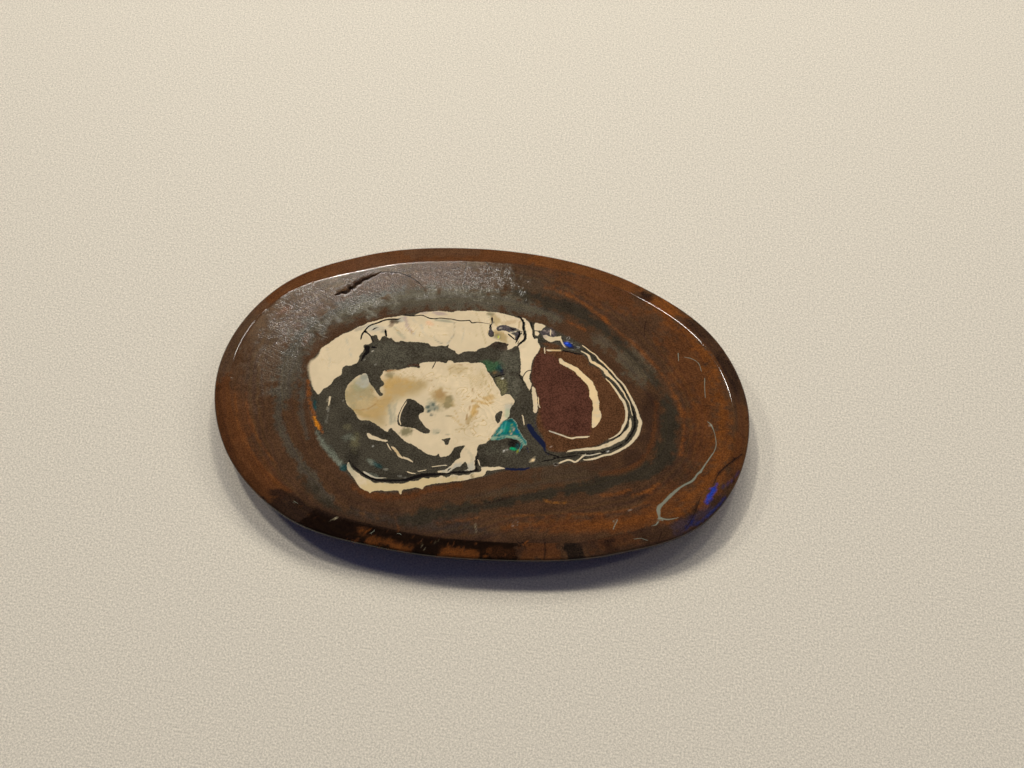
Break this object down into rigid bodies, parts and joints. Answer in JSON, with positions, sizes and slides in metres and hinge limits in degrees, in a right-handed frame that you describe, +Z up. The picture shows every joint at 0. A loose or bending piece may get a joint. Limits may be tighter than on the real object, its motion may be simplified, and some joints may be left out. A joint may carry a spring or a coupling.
{
  "type": "boulder opal slab",
  "caption": "Cut and polished oval slab of boulder opal with a flat back, a sloping rim and cream opal veins in brown ironstone.",
  "frame": {"origin": "middle of the stone's box in plan, on its flat back", "axes": "+X along the stone's length, +Y across it, +Z up out of the polished face"},
  "size_m": [0.045, 0.0294, 0.0033],
  "materials": {
    "ironstone": "polished"
  },
  "bodies": {
    "root": {"opal_slab": "ironstone"}
  },
  "joints": []
}
